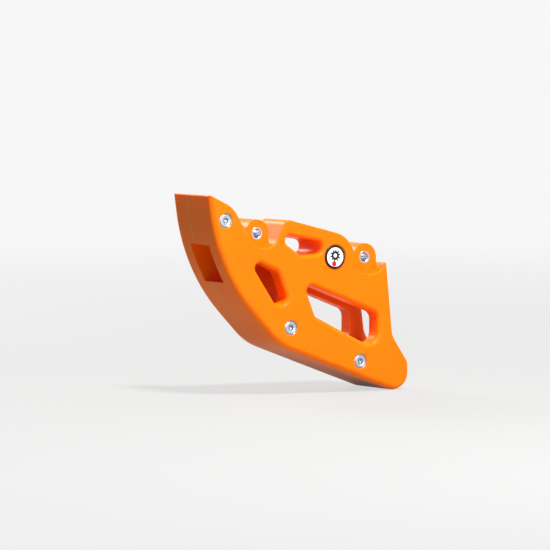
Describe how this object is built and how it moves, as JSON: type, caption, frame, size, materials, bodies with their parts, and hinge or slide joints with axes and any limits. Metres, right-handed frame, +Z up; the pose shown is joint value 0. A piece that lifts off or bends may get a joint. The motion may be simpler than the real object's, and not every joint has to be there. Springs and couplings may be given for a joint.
{
  "type": "motorcycle chain guide",
  "caption": "Split moulded chain guide with an open chain channel, flared side windows and collared mounting ears, closed by countersunk screws",
  "frame": {"origin": "on the axis of the front mounting hole, at the outer end of its collar", "axes": "+X points to the rear of the machine, +Y inboard along the mounting holes, +Z up as fitted"},
  "size_m": [0.1796, 0.0535, 0.1528],
  "materials": {
    "shell": "satin",
    "zinc_steel": "satin",
    "nylon": "matte",
    "badge": "gloss"
  },
  "bodies": {
    "root": {"outer_half": "shell", "inner_half": "shell", "front_mount_collar": "zinc_steel", "rear_mount_collar": "zinc_steel", "upper_screw": "zinc_steel", "middle_screw": "zinc_steel", "lower_screw": "zinc_steel", "upper_nut": "zinc_steel", "middle_nut": "zinc_steel", "lower_nut": "zinc_steel", "upper_nut_ring": "nylon", "middle_nut_ring": "nylon", "lower_nut_ring": "nylon", "badge": "badge"}
  },
  "joints": []
}
